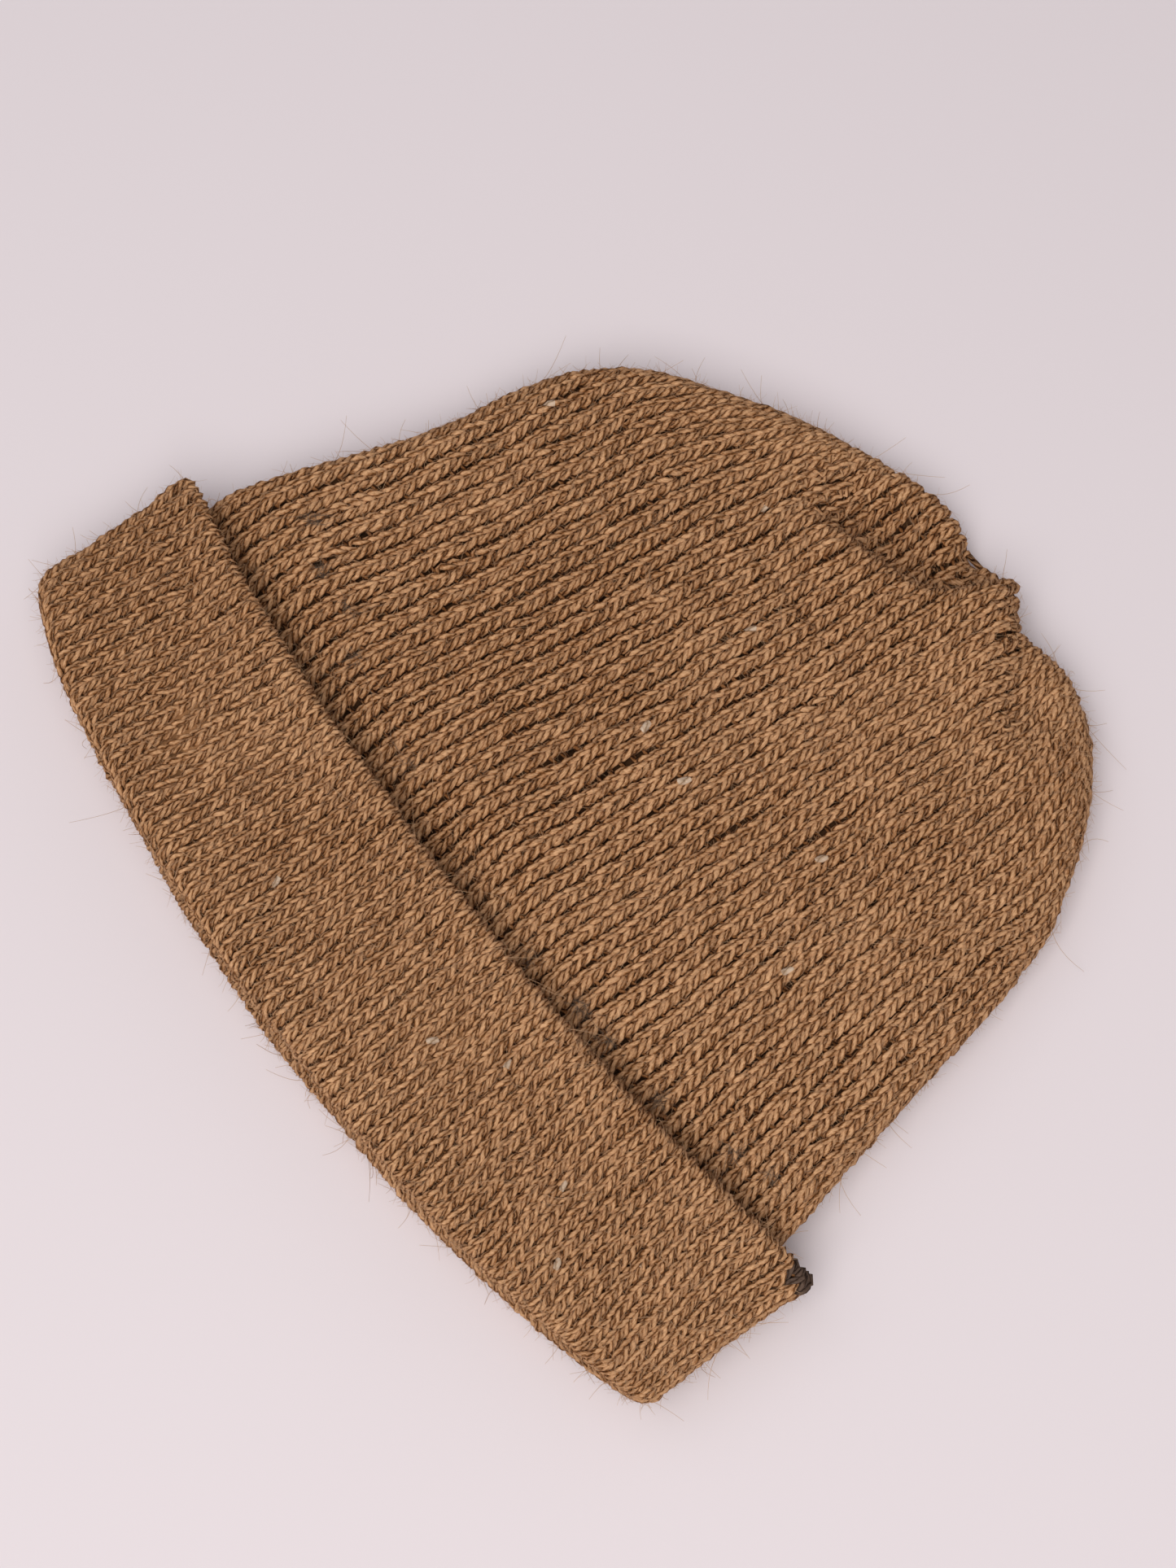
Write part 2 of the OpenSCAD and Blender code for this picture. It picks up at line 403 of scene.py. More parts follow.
def lining_surface(a, b):
    """Column a and distance b along the hat to a place on the lining, just inside the mouth."""
    angle = np.interp((a / LINING_WALES) % 1.0, LINING_TABLE[0], LINING_TABLE[1])
    x, z = section(BODY_HALF - LINING_IN, LINING_HALF_H - LINING_IN, angle, 0)
    y = b + 22 * (x / CUFF_HALF) ** 2
    return np.stack([x, y, z], -1), np.ones(x.shape, dtype=bool)


# ---------------------------------------------------------------- yarn

PER_STITCH = 16


def yarn_row(surface, first, last, row, pitch, radius, depth, seed, facing, closed, loop):
    """The path of one row of loops from column first to column last, each leg a little uneven."""
    r = np.random.default_rng(seed)
    columns = np.arange(first, last)
    even = np.arange(PER_STITCH) / PER_STITCH * 2 * math.pi
    t = (columns[:, None] * 2 * math.pi + even[None]).ravel()
    if not closed:
        t = np.append(t, last * 2 * math.pi)
    leg = np.floor(t / math.pi).astype(int) - 2 * first
    if closed:
        leg %= 2 * len(columns)
    legs = leg.max() + 1
    sway = np.abs(np.sin(t))
    shove = 0.035 * r.normal(size=legs)[leg] * sway
    lift = 0.06 * r.normal(size=legs)[leg] * sway
    rise = 0.10 * r.normal(size=legs)[leg] * sway
    swell = 1 + 0.07 * r.normal(size=legs)[leg] * sway
    a = t / (2 * math.pi) + loop[0] * np.sin(2 * t) - loop[1] * np.sin(t) + shove
    b = row - pitch * (LOOP_TALL * np.cos(t) - lift)
    step = 0.05
    p, inside = surface(a, b)
    pa, _ = surface(a + step, b)
    pb, _ = surface(a, b + step * pitch)
    n = np.cross(pa - p, pb - p)
    n /= np.maximum(np.linalg.norm(n, axis=1), 1e-9)[:, None]
    n *= facing
    out = -depth * np.cos(2 * t) + rise
    p = p + n * out[:, None]
    pull = np.linalg.norm(pa - p, axis=1)
    pull = np.clip(pull / np.percentile(pull, 85), 1, 1.7) ** 0.6   # it swells where columns spread
    size = radius * swell * pull * (0.94 - 0.12 * np.cos(2 * t))
    p[:, 2] = np.maximum(p[:, 2], size)                        # the table bears the lowest loops
    # Random tone for each leg, plus painted shade at the loops' ends, where they dive under their
    # neighbours.
    tone_and_shade = 0.022 * r.normal(size=legs)[leg] - 0.24 * (0.5 + 0.5 * np.cos(2 * t)) ** 1.5
    return {"p": p, "n": n, "r": size, "inside": inside, "tone_and_shade": tone_and_shade, "closed": closed}


def part_of(row, keep):
    """The chosen points of a row."""
    out = {k: v[keep] for k, v in row.items() if isinstance(v, np.ndarray)}
    out["closed"] = False
    return out


def thinned(row, share):
    """The same path with fewer points, for the side that lies on the table."""
    count = len(row["p"])
    at = np.linspace(0, count - 1, int(count * share))
    low = np.minimum(at.astype(int), count - 2)
    blend = at - low
    out = {}
    for key in ("p", "n", "r", "tone_and_shade"):
        weight = blend[:, None] if row[key].ndim > 1 else blend
        out[key] = row[key][low] * (1 - weight) + row[key][low + 1] * weight
    return out


def runs(mask):
    """Start and end of each stretch of true values."""
    edge = np.flatnonzero(np.diff(np.concatenate([[0], mask.astype(int), [0]])))
    return list(zip(edge[::2], edge[1::2]))


def to_edges(mask, start, end):
    """The stretch from start to end, grown by up to two stitches as far as the mask goes."""
    for _ in range(2 * PER_STITCH):
        if start > 0 and mask[start - 1]:
            start -= 1
        if end < len(mask) and mask[end]:
            end += 1
    return slice(start, end)


def joined(upper, lower):
    """One closed loop from an upper and a lower stretch that meet at both edges."""
    loop = {k: np.concatenate([upper[k], lower[k][::-1]]) for k in ("p", "n", "r", "tone_and_shade")}
    loop["closed"] = True
    return loop


def grid_faces(steps, count, around):
    """Quads between neighbouring rings; the last of count rings is followed by the first."""
    j = np.arange(steps)[:, None]
    k = (j + 1) % count
    i = np.arange(around)[None]
    i2 = (i + 1) % around
    return np.stack([j * around + i, k * around + i, k * around + i2, j * around + i2], -1).reshape(-1, 4)


def tube_mesh(name, rows):
    """One mesh of round tubes along the rows' paths, with yarn and bake UV maps."""
    points, faces, uv_yarn, uv_bake, tones_and_shades = [], [], [], [], []
    base = 0
    ring = np.arange(SIDES)
    turn = 2 * math.pi * ring / SIDES + math.pi       # the UV maps' seam lies on the hidden side
    for index, row in enumerate(rows):
        p, n = row["p"], row["n"]
        count = len(p)
        if row["closed"]:
            tangent = np.roll(p, -1, 0) - np.roll(p, 1, 0)
        else:
            tangent = np.gradient(p, axis=0)
        tangent /= np.maximum(np.linalg.norm(tangent, axis=1), 1e-9)[:, None]
        up = n - tangent * (n * tangent).sum(1)[:, None]
        up /= np.maximum(np.linalg.norm(up, axis=1), 1e-9)[:, None]
        side = np.cross(tangent, up)
        c, s = np.cos(turn)[None, :, None], np.sin(turn)[None, :, None]
        spoke = up[:, None] * c + side[:, None] * s
        points.append((p[:, None] + spoke * row["r"][:, None, None]).reshape(-1, 3))
        tones_and_shades.append(np.repeat(row["tone_and_shade"], SIDES))
        last = count if row["closed"] else count - 1
        faces.append(base + grid_faces(last, count, SIDES))
        step = np.linalg.norm(np.roll(p, -1, 0) - p, axis=1)
        along = np.concatenate([[0], np.cumsum(step)])
        u0, u1 = along[:last, None], along[1:last + 1, None]
        v0, v1 = ring[None] / SIDES, (ring[None] + 1) / SIDES
        uv_yarn.append(corners(u0, u1, v0, v1))
        whole = along[last]
        low, high = (index + 0.04 + 0.92 * v0) / len(rows), (index + 0.04 + 0.92 * v1) / len(rows)
        uv_bake.append(corners(u0 / whole, u1 / whole, low, high))
        base += count * SIDES
    mesh = bpy.data.meshes.new(name)
    points = metres(np.vstack(points))
    faces = np.vstack(faces)
    fill_mesh(mesh, points, faces)
    add_uv(mesh, "yarn", np.vstack(uv_yarn))
    add_uv(mesh, "OFBake", np.vstack(uv_bake))
    # Each vertex's random tone and painted shade, for the wool shader.
    add_value(mesh, "tone_and_shade", np.concatenate(tones_and_shades))
    return show(name, mesh)


def corners(u0, u1, v0, v1):
    """UV corners of a grid of quads."""
    u0, u1, v0, v1 = np.broadcast_arrays(u0, u1, v0, v1)
    return np.stack([np.stack([u0, v0], -1), np.stack([u1, v0], -1),
                     np.stack([u1, v1], -1), np.stack([u0, v1], -1)], -2).reshape(-1, 2)


def fill_mesh(mesh, points, faces):
    mesh.vertices.add(len(points))
    mesh.vertices.foreach_set("co", points.astype(np.float32).ravel())
    size = faces.shape[1]
    mesh.loops.add(faces.size)
    mesh.loops.foreach_set("vertex_index", faces.astype(np.int32).ravel())
    mesh.polygons.add(len(faces))
    mesh.polygons.foreach_set("loop_start", np.arange(0, faces.size, size, dtype=np.int32))
    mesh.polygons.foreach_set("use_smooth", np.ones(len(faces), dtype=bool))
    mesh.update(calc_edges=True)
    mesh.validate()


def add_uv(mesh, name, values):
    layer = mesh.uv_layers.new(name=name)
    layer.data.foreach_set("uv", values.astype(np.float32).ravel())


def add_value(mesh, name, values):
    mesh.attributes.new(name, "FLOAT", "POINT").data.foreach_set("value", values.astype(np.float32))


def show(name, mesh):
    piece = bpy.data.objects.new(name, mesh)
    bpy.context.scene.collection.objects.link(piece)
    return piece


# ---------------------------------------------------------------- materials


def new_material(name, roughness, specular):
    """A material with its node tree and its shader."""
    material = bpy.data.materials.new(name)
    material.use_nodes = True
    shader = material.node_tree.nodes["Principled BSDF"]
    shader.inputs["Roughness"].default_value = roughness
    shader.inputs["Specular IOR Level"].default_value = specular
    return material, material.node_tree, shader


def maths(tree, operation, *values):
    """A maths node's output; each value is a number or another node's output."""
    node = tree.nodes.new("ShaderNodeMath")
    node.operation = operation
    for socket, value in zip(node.inputs, values):
        if isinstance(value, (int, float)):
            socket.default_value = value
        else:
            tree.links.new(value, socket)
    return node.outputs[0]


def noise(tree, vector, scale, detail):
    node = tree.nodes.new("ShaderNodeTexNoise")
    node.inputs["Scale"].default_value = scale
    node.inputs["Detail"].default_value = detail
    tree.links.new(vector, node.inputs["Vector"])
    return node.outputs["Fac"]


def ramp_colour(tree, value, stops, shader):
    """Colours the shader from a value, by stops of position and colour in rising order."""
    node = tree.nodes.new("ShaderNodeValToRGB")
    elements = node.color_ramp.elements
    elements[0].position = stops[0][0]
    elements[1].position = stops[-1][0]
    for position, _ in stops[1:-1]:
        elements.new(position)
    for element, (_, colour) in zip(elements, stops):
        element.color = (*colour, 1)
    tree.links.new(value, node.inputs["Fac"])
    tree.links.new(node.outputs["Color"], shader.inputs["Base Color"])


def relief(tree, height, depth, shader):
    """Bumps on the shader's surface, depth metres high."""
    bump = tree.nodes.new("ShaderNodeBump")
    bump.inputs["Strength"].default_value = 0.8
    bump.inputs["Distance"].default_value = depth
    tree.links.new(height, bump.inputs["Height"])
    tree.links.new(bump.outputs["Normal"], shader.inputs["Normal"])


def plies(tree, along, around, place):
    """The grooves between three round strands that wind once in about ten millimetres of yarn."""
    loose = noise(tree, place, 600.0, 2.0)
    phase = maths(tree, "MULTIPLY", along, math.pi / PLY_PITCH)
    phase = maths(tree, "MULTIPLY_ADD", around, 3 * math.pi, phase)
    phase = maths(tree, "MULTIPLY_ADD", loose, 2.4, phase)
    return maths(tree, "POWER", maths(tree, "ABSOLUTE", maths(tree, "SINE", phase)), 0.6)


def fibres(tree, uv):
    """Streaks that run nearly along the yarn."""
    streak = tree.nodes.new("ShaderNodeMapping")
    streak.inputs["Scale"].default_value = (0.5, 9.0, 1.0)
    streak.inputs["Rotation"].default_value = (0, 0, 0.3)
    tree.links.new(uv, streak.inputs["Vector"])
    return noise(tree, streak.outputs["Vector"], 2.8, 5.0)


def wool(name, deep, mid, light):
    """Plied wool yarn: twisted plies with painted shade in their grooves, streaky fibres and a heathered
    colour.
    """
    material, tree, shader = new_material(name, 0.9, 0.05)
    shader.inputs["Sheen Weight"].default_value = 0.03
    shader.inputs["Sheen Roughness"].default_value = 0.5
    shader.inputs["Sheen Tint"].default_value = (1.0, 0.86, 0.72, 1)

    uv = tree.nodes.new("ShaderNodeUVMap")
    uv.uv_map = "yarn"
    split = tree.nodes.new("ShaderNodeSeparateXYZ")
    tree.links.new(uv.outputs["UV"], split.inputs[0])
    place = tree.nodes.new("ShaderNodeTexCoord").outputs["Object"]
    ply = plies(tree, split.outputs[0], split.outputs[1], place)
    fibre = fibres(tree, uv.outputs["UV"])
    heather = noise(tree, place, 260.0, 3.0)
    patch = noise(tree, place, 28.0, 2.0)
    tone_and_shade = tree.nodes.new("ShaderNodeAttribute")
    tone_and_shade.attribute_name = "tone_and_shade"

    # The plies' grooves darken the colour: painted shade.
    shade = maths(tree, "MULTIPLY_ADD", ply, 0.46, -0.29)
    shade = maths(tree, "MULTIPLY_ADD", fibre, 0.75, shade)
    shade = maths(tree, "MULTIPLY_ADD", heather, 0.20, shade)
    shade = maths(tree, "MULTIPLY_ADD", patch, 0.16, shade)
    # Adds each leg's random tone and the painted shade at the loops' ends.
    shade = maths(tree, "ADD", tone_and_shade.outputs["Fac"], shade)
    ramp_colour(tree, shade, [(0.26, deep), (0.50, mid), (0.80, light)], shader)
    relief(tree, maths(tree, "MULTIPLY_ADD", fibre, 0.6, ply), 0.0004, shader)
    return material


def ground_wool(name, deep, light):
    """The dim layer of fabric behind the loops, with the ridges of its own knitting; its colour follows
    their height, with painted shade in the hollows.
    """
    material, tree, shader = new_material(name, 0.95, 0.1)
    place = tree.nodes.new("ShaderNodeTexCoord").outputs["Object"]
    ridges = tree.nodes.new("ShaderNodeTexWave")
    ridges.bands_direction = "X"
    ridges.inputs["Scale"].default_value = 75.0
    ridges.inputs["Distortion"].default_value = 3.0
    ridges.inputs["Detail"].default_value = 3.0
    ridges.inputs["Detail Scale"].default_value = 4.0
    tree.links.new(place, ridges.inputs["Vector"])
    loops = tree.nodes.new("ShaderNodeTexVoronoi")
    loops.inputs["Scale"].default_value = 380.0
    tree.links.new(place, loops.inputs["Vector"])
    height = maths(tree, "MULTIPLY_ADD", loops.outputs["Distance"], 0.7, ridges.outputs["Fac"])
    # Colour follows the height: painted shade in the hollows between the ridges.
    ramp_colour(tree, height, [(0.0, deep), (1.0, light)], shader)
    relief(tree, height, 0.0012, shader)
    return material


def plain_wool(name, colour, roughness):
    """Loose fibres, too fine for any pattern to show."""
    material, _, shader = new_material(name, roughness, 0.5)
    shader.inputs["Base Color"].default_value = (*colour, 1)
    return material


# The ramp's dark end, where the painted shade of the ply grooves and of the loops' ends lands.
CAMEL_DEEP = (0.026, 0.006, 0.001)
CAMEL_MID = (0.250, 0.102, 0.035)
CAMEL_LIGHT = (0.70, 0.410, 0.220)
body_wool = wool("wool_body", CAMEL_DEEP, CAMEL_MID, CAMEL_LIGHT)
cuff_wool = wool("wool_cuff", CAMEL_DEEP, CAMEL_MID, CAMEL_LIGHT)
lining_wool = wool("wool_lining", CAMEL_DEEP, CAMEL_MID, CAMEL_LIGHT)
dark_wool = wool("wool_dark", (0.022, 0.012, 0.008), (0.065, 0.038, 0.027), (0.15, 0.100, 0.075))
fabric_wool = ground_wool("wool_fabric", (0.050, 0.021, 0.008), (0.30, 0.145, 0.062))
# Near-black: painted shade, for the sheet just under the body's loops that darkens the gaps between
# stitches.
painted_shade_wool = ground_wool("wool_painted_shade", (0.012, 0.005, 0.002), (0.07, 0.032, 0.014))
hair_wool = plain_wool("wool_hair", (0.52, 0.31, 0.17), 0.8)
felted_wool = plain_wool("wool_felted", (0.17, 0.115, 0.078), 0.9)
cream_wool = wool("wool_cream", (0.30, 0.19, 0.11), (0.52, 0.36, 0.24), (0.70, 0.55, 0.42))


def finish_piece(piece, material, body, replaces=()):
    piece.data.materials.append(material)
    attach(piece, body)
    if replaces:
        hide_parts(*replaces)


# ---------------------------------------------------------------- the camera, light and table


def aim(thing, target):
    direction = Vector(target) - thing.location
    thing.rotation_euler = direction.to_track_quat("-Z", "Y").to_euler()


def add_camera():
    azimuth, elevation, distance = math.radians(53.2), math.radians(70.0), 0.676
    target = (-0.0025, -0.0087, 0.009)
    data = bpy.data.cameras.new("camera")
    data.sensor_fit = "VERTICAL"
    data.sensor_height = 36.0
    data.lens = 70.0
    camera = bpy.data.objects.new("camera", data)
    bpy.context.scene.collection.objects.link(camera)
    flat = distance * math.cos(elevation)
    camera.location = (target[0] + flat * math.sin(azimuth), target[1] - flat * math.cos(azimuth),
                       target[2] + distance * math.sin(elevation))
    aim(camera, target)
    bpy.context.scene.camera = camera
    return camera


def add_light(name, azimuth, elevation, distance, size, power, colour):
    data = bpy.data.lights.new(name, "AREA")
    data.shape = "SQUARE"
    data.size = size
    data.energy = power
    data.color = colour
    light = bpy.data.objects.new(name, data)
    bpy.context.scene.collection.objects.link(light)
    a, e = math.radians(azimuth), math.radians(elevation)
    light.location = (distance * math.cos(e) * math.sin(a), -distance * math.cos(e) * math.cos(a),
                      distance * math.sin(e))
    aim(light, (0, 0, 0))
    return light


def add_table():
    half = 3.0
    mesh = bpy.data.meshes.new("table")
    square = np.array([(-half, -half, 0), (half, -half, 0), (half, half, 0), (-half, half, 0)])
    fill_mesh(mesh, square, np.array([(0, 1, 2, 3)]))
    table = show("table", mesh)
    material = bpy.data.materials.new("table")
    material.use_nodes = True
    shader = material.node_tree.nodes["Principled BSDF"]
    shader.inputs["Base Color"].default_value = (0.80, 0.73, 0.76, 1)
    shader.inputs["Roughness"].default_value = 0.75
    mesh.materials.append(material)


def add_world():
    world = bpy.data.worlds.new("studio")
    world.use_nodes = True
    background = world.node_tree.nodes["Background"]
    background.inputs["Color"].default_value = (1.0, 0.96, 0.985, 1)
    background.inputs["Strength"].default_value = 0.27
    bpy.context.scene.world = world


add_camera()
add_world()
add_table()
add_light("window", 40, 60, 1.7, 1.5, 24.5, (1.0, 0.98, 0.95))
add_light("fill", -60, 60, 1.8, 1.4, 4, (0.97, 0.96, 1.0))
bpy.context.scene.view_settings.view_transform = "Standard"

# ---------------------------------------------------------------- the knitting


THINNED = 0.62                                    # share of points kept on the underside


def knit_body():
    """Rows of the body's outer layer, mouth to crown, each a closed loop round the hat."""
    rows = []
    reach = 36
    seed = 1000
    row = 5.5
    while row < HAT_L + 12:
        upper = yarn_row(body_surface(True), -reach, reach, row, BODY_ROW, BODY_YARN, BODY_DEPTH,
                         seed, 1.0, False, BODY_LOOP)
        lower = yarn_row(body_surface(False), -reach, reach, row, BODY_ROW, BODY_YARN, BODY_DEPTH,
                         seed + 1, -1.0, False, BODY_LOOP)
        for start, end in runs(upper["inside"] & lower["inside"]):
            if end - start > PER_STITCH:
                above = part_of(upper, to_edges(upper["inside"], start, end))
                below = part_of(lower, to_edges(lower["inside"], start, end))
                rows.append(joined(above, thinned(below, THINNED)))
        row += BODY_ROW
        seed += 2
    return rows


DARK_UP, DARK_DOWN = 2, 2                         # dark columns above and below the right edge


def knit_cuff():
    """Rows of the cuff's visible layer, and the dark stitches at its hem."""
    rows, dark = [], []
    seed = 3000
    run = 0.5 * CUFF_ROW
    count = int(CUFF_RUN / CUFF_ROW)
    pitch = CUFF_RUN / count
    for j in range(count):
        hem = run > ROLL_LEN + FACE_LEN - 0.6 * pitch
        row = yarn_row(cuff_surface, 0, CUFF_WALES, run, pitch, CUFF_YARN, CUFF_DEPTH, seed, -1.0,
                       not hem, CUFF_LOOP)
        if hem:
            last = len(row["p"])
            start, end = DARK_UP * PER_STITCH, last - DARK_DOWN * PER_STITCH
            rows.append(part_of(row, slice(start, end + 1)))
            dark.append(part_of(row, slice(0, start + 1)))
            dark.append(part_of(row, slice(end, last)))
        else:
            rows.append(row)
        run += pitch
        seed += 1
    return rows, dark


def knit_lining():
    rows = []
    for j in range(9):
        rows.append(yarn_row(lining_surface, 0, LINING_WALES, 6.5 + j * BODY_ROW, BODY_ROW,
                             LINING_YARN, LINING_DEPTH, 5000 + j, 1.0, True, CUFF_LOOP))
    return rows


def in_groups(rows, size):
    return [rows[i:i + size] for i in range(0, len(rows), size)]


HAIR_STEPS = 7
LONG_HAIR = 4                                     # longer fibres lie lower and are thicker
HAIRS = 5500                                      # fibres to a piece


def hair_paths(rows, count, seed, spots):
    """Paths and radii of stray fibres that stand off the yarn; spots gathers them into tufts."""
    r = np.random.default_rng(seed)
    p = np.concatenate([row["p"] for row in rows])
    n = np.concatenate([row["n"] for row in rows])
    size = np.concatenate([row["r"] for row in rows])
    seen = np.flatnonzero(n[:, 2] > -0.25)
    if spots:
        off = [np.hypot(p[seen, 0] - x, (p[seen, 1] - y) * 1.4) for x, y in spots]
        seen = seen[np.concatenate([np.flatnonzero(distance < 1.7) for distance in off])]
    at = r.choice(seen, count)
    length = np.where(r.random(count) < 0.03,
                      r.uniform(LONG_HAIR, 11, count), r.uniform(0.8, 3.2, count))
    heading = r.normal(size=(count, 3))
    heading -= n[at] * (heading * n[at]).sum(1)[:, None]
    heading /= np.linalg.norm(heading, axis=1)[:, None]
    rise = np.where(r.random(count) < 0.8, r.uniform(0.05, 0.4, count), r.uniform(0.4, 1.2, count))
    rise = np.where(length > LONG_HAIR, np.minimum(rise, 0.45), rise)
    heading = heading + n[at] * rise[:, None]
    heading /= np.linalg.norm(heading, axis=1)[:, None]
    bend = np.clip(r.normal(size=(count, 3)), -2, 2) * 0.7 / length[:, None]
    start = p[at] + n[at] * (size[at] * 0.9)[:, None]
    s = np.linspace(0, 1, HAIR_STEPS)[None] * length[:, None]
    path = start[:, None] + heading[:, None] * s[..., None] + bend[:, None] * (s ** 2)[..., None] / 2
    path[..., 2] = np.clip(path[..., 2], 0.1, CUFF_HIGH + 8)
    root = np.where(length > LONG_HAIR, 0.065, r.uniform(0.028, 0.052, count))
    return path, root[:, None] * np.linspace(1, 0.5, HAIR_STEPS)[None]


def hairs(name, rows, count, seed, spots=()):
    """Stray fibres as fine three-sided tubes, in one mesh."""
    path, thick = hair_paths(rows, count, seed, spots)
    tangent = np.gradient(path, axis=1)
    tangent /= np.linalg.norm(tangent, axis=2)[..., None]
    up = np.cross(tangent, [0.31, 0.52, 0.79])
    up /= np.linalg.norm(up, axis=2)[..., None]
    side = np.cross(tangent, up)
    turn = 2 * math.pi * np.arange(3) / 3
    ring = up[:, :, None] * np.cos(turn)[:, None] + side[:, :, None] * np.sin(turn)[:, None]
    points = path[:, :, None] + ring * thick[..., None, None]
    k = np.arange(count)[:, None, None] * HAIR_STEPS * 3
    j = np.arange(HAIR_STEPS - 1)[None, :, None] * 3
    i = np.arange(3)[None, None]
    i2 = (i + 1) % 3
    quad = np.stack([k + j + i, k + j + 3 + i, k + j + 3 + i2, k + j + i2], -1).reshape(-1, 4)
    mesh = bpy.data.meshes.new(name)
    fill_mesh(mesh, metres(points.reshape(-1, 3)), quad)
    return show(name, mesh)


def sleeves(rows, spots):
    """Pale tufts caught in the yarn: a thicker sleeve over the loop's leg nearest to each spot."""
    out = []
    for x, y in spots:
        best = None
        for row in rows:
            d = np.hypot(row["p"][:, 0] - x, row["p"][:, 1] - y) + 20 * (row["n"][:, 2] < 0.5) \
                - 0.6 * row["p"][:, 2]
            i = int(d.argmin())
            if 4 < i < len(d) - 5 and (best is None or d[i] < best[0]):
                best = (d[i], row, i)
        _, row, i = best
        tuft = part_of(row, slice(i - 3, i + 4))
        tuft["r"] = tuft["r"] * np.array([0.6, 0.9, 1.0, 1.03, 1.0, 0.9, 0.6])
        out.append(tuft)
    return out


def ring_mesh(name, rings, closed_run):
    """A smooth skin through equal rings of points; closed_run joins the last ring to the first."""
    rings = np.array(rings)
    count, around = rings.shape[:2]
    quad = grid_faces(count if closed_run else count - 1, count, around)
    outward = quad[:, [0, 3, 2, 1]]
    mesh = bpy.data.meshes.new(name)
    fill_mesh(mesh, metres(rings.reshape(-1, 3)), outward)
    return show(name, mesh)


def body_rings(drop, first_y, last_y, step, count):
    """Rings round the body at a depth below the middle of its yarn."""
    theta = 2 * math.pi * np.arange(count) / count
    rings = []
    for y in [*np.arange(first_y, last_y, step), last_y]:
        crossing = OUTLINE[np.abs(OUTLINE[:, 1] - y) < 1.6]
        if len(crossing) < 2:
            break
        low, high = crossing[:, 0].min() + drop, crossing[:, 0].max() - drop
        x = (low + high) / 2 + (high - low) / 2 * np.cos(theta)
        yy = np.full(count, float(y))
        d = np.maximum(to_outline(x, yy)[0] - drop * 0.3, 0.0)
        round_off = np.sqrt(np.clip(1 - (1 - np.minimum(d / EDGE_R, 1)) ** 2, 0, 1))
        upper, lower = height_top(x, yy), height_bottom(x, yy)
        middle = lower + EDGE_SHARE * (upper - lower)
        top = middle + np.maximum((upper - middle) * round_off - drop, 0)
        bottom = middle - np.maximum((middle - lower) * round_off - drop, 0)
        z = np.where(np.sin(theta) >= 0, top, bottom)
        yy = yy + 17 * (x / CUFF_HALF) ** 2 * (1 - smooth((y - 6) / 50))
        rings.append(np.stack([x, yy, z], -1))
    return rings


# Inset from the cuff's face and height above the brim fold, round the section of its hidden layer
BACKING = [(2.6, 3.0), (2.6, 12), (2.6, 24), (2.6, 36), (3.0, 46.2), (3.6, 46.8), (4.1, 46.2), (4.1, 36),
           (4.1, 24), (4.1, 12), (4.4, 4.5), (4.2, 3.4)]


def cuff_rings():
    share = np.arange(192) / 192
    angle = np.interp(share, CUFF_TABLE[0], CUFF_TABLE[1])
    rings = []
    for inset_here, s in BACKING:
        x, z = section(CUFF_HALF - inset_here, CUFF_HIGH / 2 - inset_here, angle, inset_here)
        low, high = cuff_edges(x, s)
        rings.append(np.stack([x, low + s * (high - low) / CUFF_H, z], -1))
    return rings


def plain_yarn(p, n, closed):
    """A row of yarn with no loops."""
    count = len(p)
    return {"p": p, "n": n, "r": np.full(count, THREAD_R), "tone_and_shade": np.zeros(count), "closed": closed}


def gather(x, y, half_w, half_h):
    """Two turns of thread standing across the hat, between its faces."""
    t = 2 * math.pi * np.arange(40) / 40
    n = np.stack([np.cos(t), 0 * t, np.sin(t)], -1)
    turns = []
    for k in range(2):
        along = y - 1.9 * k + 0.5 * np.sin(3 * t)
        p = np.stack([x + half_w * np.cos(t), along, 7.0 + half_h * np.sin(t)], -1)
        turns.append(plain_yarn(p, n, True))
    return turns


def tail_row():
    """The yarn's end: a short slack length between the two layers."""
    t = np.linspace(0, 1, 40)
    p = np.stack([22 + 15 * t, 165 - 26 * t + 2.5 * np.sin(5 * t), 7.5 + 1.5 * np.sin(4 * t)], -1)
    return plain_yarn(p, np.tile([0.0, 0.0, 1.0], (40, 1)), False)


# ---------------------------------------------------------------- the pieces

GROUP = 7                                         # rows to a piece
THREAD_R = 0.8
# Thin places near the hem, where the fibres have felted grey
FELTED = [(-88, 76), (-76, 71), (-65, 70), (-55, 65), (-27, 59), (24, 55), (39, 57), (48, 57), (65, 58),
          (84, 64), (93, 67)]
# Pale flecks
BODY_NEPS = [(-80, 136), (-3, 106), (12, 105), (-8, 139), (44, 118), (60, 96), (-30, 160)]
CUFF_NEPS = [(42, 36), (28, 26), (82, 19), (92, 33), (-20, 20), (70, 30)]


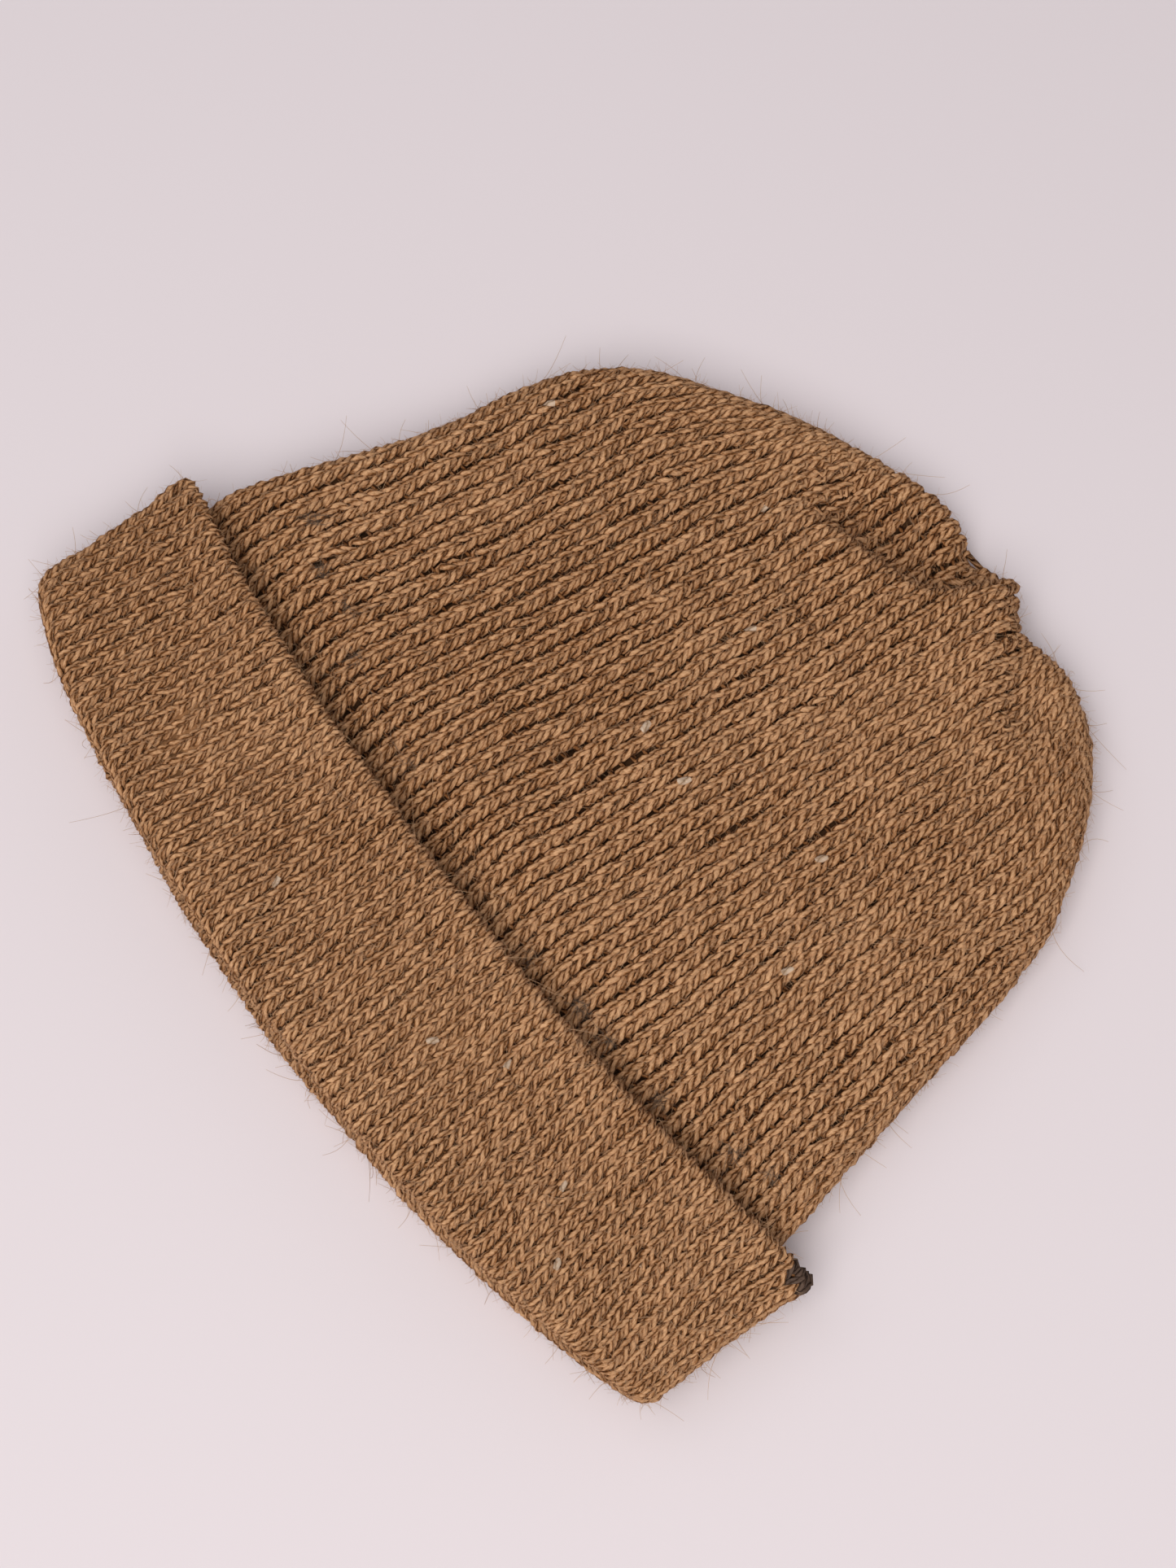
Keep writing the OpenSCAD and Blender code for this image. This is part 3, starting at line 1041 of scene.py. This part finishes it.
def knit_pieces(name, rows, material, body, node):
    """Rows of knitting as pieces of a few rows each, which stand for a CAD node."""
    pieces = []
    for number, group in enumerate(in_groups(rows, GROUP)):
        pieces.append(tube_mesh(f"{name}_{number + 1}", group))
        finish_piece(pieces[-1], material, body, (node,))
    return pieces


def fuzz(name, rows, pieces, seed, body):
    for number in range(pieces):
        piece = hairs(f"{name}_{number + 1}", rows, HAIRS, seed + number)
        finish_piece(piece, hair_wool, body)


body_rows = knit_body()
body_loops = knit_pieces("body_knit", body_rows, body_wool, "shell", "body_outer")
cuff_rows, dark_rows = knit_cuff()
cuff_loops = knit_pieces("cuff_knit", cuff_rows, cuff_wool, "cuff", "cuff_outer")
dark_piece = tube_mesh("edge_knit", dark_rows)
finish_piece(dark_piece, dark_wool, "cuff", ("edge_stitches",))
lining_piece = tube_mesh("lining_knit", knit_lining())
finish_piece(lining_piece, lining_wool, "shell")

fuzz("body_hairs", body_rows, 5, 71, "shell")
fuzz("cuff_hairs", cuff_rows, 3, 81, "cuff")
finish_piece(hairs("felted_spots", body_rows, 1000, 91, FELTED), felted_wool, "shell")
finish_piece(tube_mesh("body_neps", sleeves(body_rows, BODY_NEPS)), cream_wool, "shell")
finish_piece(tube_mesh("cuff_neps", sleeves(cuff_rows, CUFF_NEPS)), cream_wool, "cuff")

# A near-black sheet just under the body's loops, where there is only shade: painted shade in the gaps
# between stitches.
painted_shade_ground = ring_mesh("painted_shade_ground", body_rings(1.1, 5, 189, 1.5, 192), False)
finish_piece(painted_shade_ground, painted_shade_wool, "shell")
lining_fabric = ring_mesh("lining_fabric", body_rings(2.9, 6, 184, 4, 96), False)
finish_piece(lining_fabric, fabric_wool, "shell", ("body_lining",))
cuff_backing = ring_mesh("cuff_backing", cuff_rings(), True)
finish_piece(cuff_backing, fabric_wool, "cuff", ("cuff_inner",))

gather_piece = tube_mesh("gather_yarn", gather(x=25, y=177.5, half_w=5.5, half_h=1.8))
finish_piece(gather_piece, body_wool, "shell", ("crown_gather_yarn",))
lining_gather = tube_mesh("lining_gather", gather(x=27, y=168, half_w=4.5, half_h=1.6))
finish_piece(lining_gather, lining_wool, "shell", ("lining_gather_yarn",))
tail_piece = tube_mesh("tail_yarn", [tail_row()])
finish_piece(tail_piece, body_wool, "shell", ("yarn_tail",))
